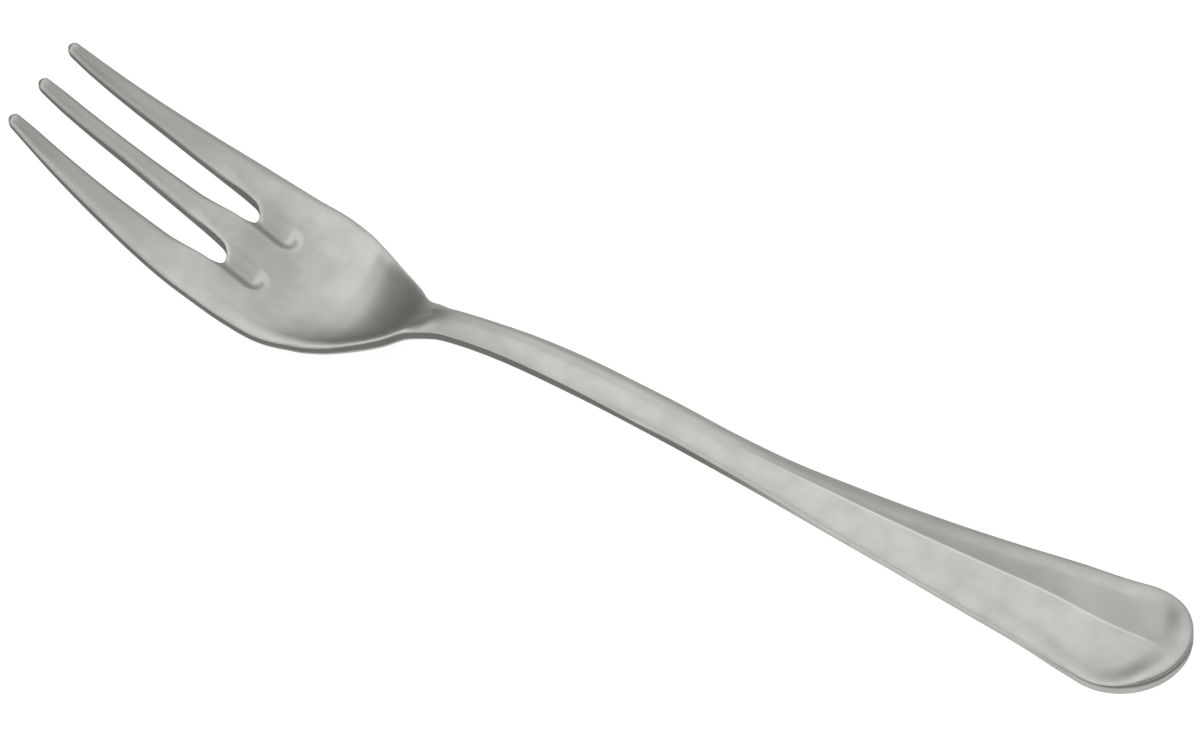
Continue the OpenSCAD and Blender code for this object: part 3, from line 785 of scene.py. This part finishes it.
def satin_steel(finish, sizes):
    """Brushed satin steel with duller clouds, painted shade that darkens the tines and the blanked walls,
    and a painted highlight on the ridge's rubbed, glossier crest.
    """
    material = bpy.data.materials.new("satin_steel")
    material.use_nodes = True
    tree = material.node_tree
    shader = tree.nodes["Principled BSDF"]
    shader.inputs["Metallic"].default_value = 1
    shader.inputs["Specular Tint"].default_value = (*finish.edge_tint, 1)
    place = add_node(tree, "ShaderNodeTexCoord")
    grain = add_node(tree, "ShaderNodeGroup", node_tree=cloudy_grain())
    join(tree, place.outputs["Object"], grain.inputs["Vector"])
    clouds, brushing, fine = (grain.outputs[name] for name in ("Clouds", "Brushing", "Grain"))
    facing = add_node(tree, "ShaderNodeSeparateXYZ")
    join(tree, place.outputs["Normal"], facing.inputs[0])
    upright = facing.outputs["Z"]
    spot = add_node(tree, "ShaderNodeSeparateXYZ")
    join(tree, place.outputs["Object"], spot.inputs[0])
    x, y, z = (spot.outputs[name] for name in "XYZ")

    slots_end = sizes.tine_length - frame_middle(sizes)
    handle_start = slots_end + sizes.head_length + sizes.stem_length
    handle_end = handle_start + sizes.handle_length
    handle = remap(tree, x, handle_start - sizes.ridge_lead, handle_start + sizes.ridge_lead)

    # The blanked walls get painted shade and a rougher finish, but for the handle's polished sides and the
    # foot of its round end, which keep less of both
    wall = remap(tree, calculate(tree, "ABSOLUTE", upright), *WALL_SHADE_SPAN)
    round_end = remap(tree, x, *(handle_end - sizes.end_length * part for part in ROUND_END_SPAN))
    foot = remap(tree, z, *(sizes.grip_height * part for part in FOOT_SPAN))
    # Where the painted wall shade and the wall roughness are lessened: the handle's sides, but not its
    # round end above the foot
    polished = calculate(tree, "SUBTRACT", handle, calculate(tree, "MULTIPLY", round_end, foot))
    shade_and_rough_kept = calculate(tree, "MULTIPLY_ADD", polished, -finish.side_polish_unshaded, 1.0)
    wall = calculate(tree, "MULTIPLY", wall, shade_and_rough_kept)

    # Painted highlight along the ridge's crest on the handle's upward faces; the same mask also makes the
    # crest glossier
    off_crest = calculate(tree, "ABSOLUTE", y)
    crest = remap(tree, off_crest, *(sizes.ridge_softness * part for part in CREST_SPAN))
    ended = remap(tree, x, *(handle_end - sizes.hollow_wall * part for part in RIDGE_END_SPAN))
    ridge = calculate(tree, "MULTIPLY", crest, calculate(tree, "SUBTRACT", handle, ended))
    ridge = calculate(tree, "MULTIPLY", ridge, remap(tree, upright, *RIDGE_FACE_SPAN))

    clouded = calculate(tree, "MULTIPLY", clouds, CLOUD_TONE)
    tone = calculate(tree, "MULTIPLY_ADD", brushing, BRUSH_TONE, clouded)
    # Painted shade: the tines turn darker from the ends of the slots towards the tips
    tine = remap(tree, x, slots_end, slots_end - sizes.tine_length * TINE_SHADE_SPAN)
    colour = blend_colours(tree, tone, finish.dull_colour, finish.colour)
    colour = blend_colours(tree, tine, colour, finish.tine_shade_colour)
    # Painted highlight on the ridge's crest
    colour = blend_colours(tree, ridge, colour, finish.crest_highlight_colour)
    # Painted shade on the blanked walls
    colour = blend_colours(tree, wall, colour, finish.wall_shade_colour)
    join(tree, colour, shader.inputs["Base Color"])

    rough = calculate(tree, "MULTIPLY_ADD", tone, -TONE_GLOSS, finish.roughness + TONE_GLOSS / 2)
    rough = calculate(tree, "MULTIPLY_ADD", fine, GRAIN_DULLNESS, rough)
    rough = calculate(tree, "MULTIPLY_ADD", wall, finish.cut_roughness - finish.roughness, rough)
    rough = calculate(tree, "MULTIPLY_ADD", ridge, -RIDGE_GLOSS, rough)
    join(tree, rough, shader.inputs["Roughness"])

    bump = add_node(tree, "ShaderNodeBump")
    bump.inputs["Strength"].default_value = finish.bump_strength
    bump.inputs["Distance"].default_value = finish.bump_depth
    join(tree, calculate(tree, "MULTIPLY_ADD", fine, GRAIN_HEIGHT, brushing), bump.inputs["Height"])
    join(tree, bump.outputs[0], shader.inputs["Normal"])
    return material


class StudioSettings(bpy.types.PropertyGroup):
    """Camera, table and light."""

    azimuth: angle_property("Azimuth", "Camera's turn about the fork", 29.89)
    elevation: angle_property("Elevation", "Camera's height over the table", 45.74)
    distance: length_property("Distance", "Camera to the fork", 2.5)
    view_width: length_property("View width", "Width that the picture takes in", 0.13675)
    aim_right: number_property("Aim right", "Picture's centre, rightwards", -0.0008, min=-1, unit="LENGTH")
    aim_up: number_property("Aim up", "Picture's centre, upwards", 0.007, min=-1, unit="LENGTH")
    table_size: length_property("Table size", "Half of the table's side", 3)
    table_gap: length_property("Table gap", "Table below the fork", 0.00003)
    paper: colour_property("Paper", "Colour of the table", (0.4, 0.4, 0.4))
    paper_lift: number_property("Paper lift", "Added to the table as it is seen", 0.82)
    light_from: FloatVectorProperty(
        name="Light from", description="Where the brighter half of the light is",
        default=(0.5, -0.6, 0.62), subtype="DIRECTION", size=3,
    )
    low_light: number_property("Low light", "Strength of the dimmer half", 0.78)
    high_light: number_property("High light", "Strength of the brighter half", 1.11)
    ends: number_property("Ends", "Share of the light that is left along the fork", 0.26)
    horizon: number_property("Horizon", "Share of the light that is left at the horizon", 0.35)


PAPER_ROUGHNESS = 0.9
SENSOR_WIDTH = 36
CLIP_RANGE = (0.1, 20)
# Where the light changes, by the part of its direction that points to the brighter half,
# along the fork from a little past its middle, and upwards
HALVES_SPAN = (-0.2, 0.3)
ENDS_MIDDLE = -0.12
ENDS_SPAN = (0.36, 0.62)
HORIZON_SPAN = (0.0, 0.45)


def white_paper(studio):
    """White paper that camera, metal and glass see as bright as white, and that keeps a soft shadow."""
    material = bpy.data.materials.new("white_paper")
    material.use_nodes = True
    tree = material.node_tree
    shader = tree.nodes["Principled BSDF"]
    shader.inputs["Base Color"].default_value = (*studio.paper, 1)
    shader.inputs["Roughness"].default_value = PAPER_ROUGHNESS
    shader.inputs["Emission Color"].default_value = (1, 1, 1, 1)
    rays = add_node(tree, "ShaderNodeLightPath")
    seen = calculate(tree, "ADD", rays.outputs["Is Camera Ray"], rays.outputs["Is Glossy Ray"])
    seen = calculate(tree, "ADD", seen, rays.outputs["Is Transmission Ray"])
    join(tree, calculate(tree, "MULTIPLY", seen, studio.paper_lift), shader.inputs["Emission Strength"])
    return material


def soft_light(studio):
    """Plain soft light, brighter above and near, fading towards both ends of the fork and the horizon."""
    world = bpy.data.worlds.new("soft_light")
    world.use_nodes = True
    tree = world.node_tree
    place = add_node(tree, "ShaderNodeTexCoord")
    strengths = []
    for aim in (studio.light_from, (1, 0, 0), (0, 0, 1)):
        along = add_node(tree, "ShaderNodeVectorMath", operation="DOT_PRODUCT")
        join(tree, place.outputs["Generated"], along.inputs[0])
        along.inputs[1].default_value = Vector(aim).normalized()
        strengths.append(along.outputs["Value"])
    halves = remap(tree, strengths[0], *HALVES_SPAN, studio.low_light, studio.high_light)
    off_middle = calculate(tree, "ABSOLUTE", calculate(tree, "SUBTRACT", strengths[1], ENDS_MIDDLE))
    ends = remap(tree, off_middle, *ENDS_SPAN, 1.0, studio.ends)
    risen = remap(tree, strengths[2], *HORIZON_SPAN, studio.horizon, 1.0)
    strength = calculate(tree, "MULTIPLY", calculate(tree, "MULTIPLY", halves, ends), risen)
    background = tree.nodes["Background"]
    join(tree, strength, background.inputs["Strength"])
    background.inputs["Color"].default_value = (1, 1, 1, 1)
    return world


class FORK_OT_studio(bpy.types.Operator):
    """Sets the table, the soft light and the camera"""

    bl_idname = "fork.studio"
    bl_label = "Studio"

    def execute(self, context):
        studio = context.scene.fork_studio
        scene = context.scene
        turn, rise = studio.azimuth, studio.elevation
        right = Vector((math.cos(turn), math.sin(turn), 0))
        look = Vector((-math.sin(turn) * math.cos(rise), math.cos(turn) * math.cos(rise), -math.sin(rise)))
        up = right.cross(look)
        data = bpy.data.cameras.new("camera")
        camera = bpy.data.objects.new("camera", data)
        scene.collection.objects.link(camera)
        camera.location = right * studio.aim_right + up * studio.aim_up - look * studio.distance
        camera.rotation_euler = look.to_track_quat("-Z", "Y").to_euler()
        data.sensor_width = SENSOR_WIDTH
        data.lens = data.sensor_width * studio.distance / studio.view_width
        data.clip_start, data.clip_end = CLIP_RANGE
        scene.camera = camera

        mesh = bmesh.new()
        bmesh.ops.create_grid(mesh, x_segments=1, y_segments=1, size=studio.table_size)
        bmesh.ops.translate(mesh, verts=mesh.verts[:], vec=(0, 0, -studio.table_gap))
        table_mesh = bpy.data.meshes.new("table")
        mesh.to_mesh(table_mesh)
        mesh.free()
        table = bpy.data.objects.new("table", table_mesh)
        scene.collection.objects.link(table)
        table_mesh.materials.append(white_paper(studio))
        scene.world = soft_light(studio)
        scene.view_settings.view_transform = "Standard"
        return {"FINISHED"}


class FORK_PT_panel(bpy.types.Panel):
    """Lists the fork's sizes, finish and studio"""

    bl_idname = "FORK_PT_panel"
    bl_label = "Pastry fork"
    bl_space_type = "VIEW_3D"
    bl_region_type = "UI"
    bl_category = "Pastry fork"

    def draw(self, context):
        for title, group, operator in (
            ("Fork", context.scene.fork_sizes, FORK_OT_body),
            ("Steel", context.scene.fork_finish, None),
            ("Studio", context.scene.fork_studio, FORK_OT_studio),
        ):
            column = self.layout.column(heading=title)
            column.label(text=title)
            for name in group.__annotations__:
                column.prop(group, name)
            if operator:
                column.operator(operator.bl_idname)


CLASSES = (ForkSizes, SteelFinish, StudioSettings, FORK_OT_body, FORK_OT_studio, FORK_PT_panel)


def register():
    for item in CLASSES:
        bpy.utils.register_class(item)
    bpy.types.Scene.fork_sizes = PointerProperty(type=ForkSizes)
    bpy.types.Scene.fork_finish = PointerProperty(type=SteelFinish)
    bpy.types.Scene.fork_studio = PointerProperty(type=StudioSettings)


def unregister():
    del bpy.types.Scene.fork_sizes, bpy.types.Scene.fork_finish, bpy.types.Scene.fork_studio
    for item in reversed(CLASSES):
        bpy.utils.unregister_class(item)


def main():
    register()
    bpy.ops.fork.body()
    bpy.ops.fork.studio()


if __name__ == "__main__":
    main()
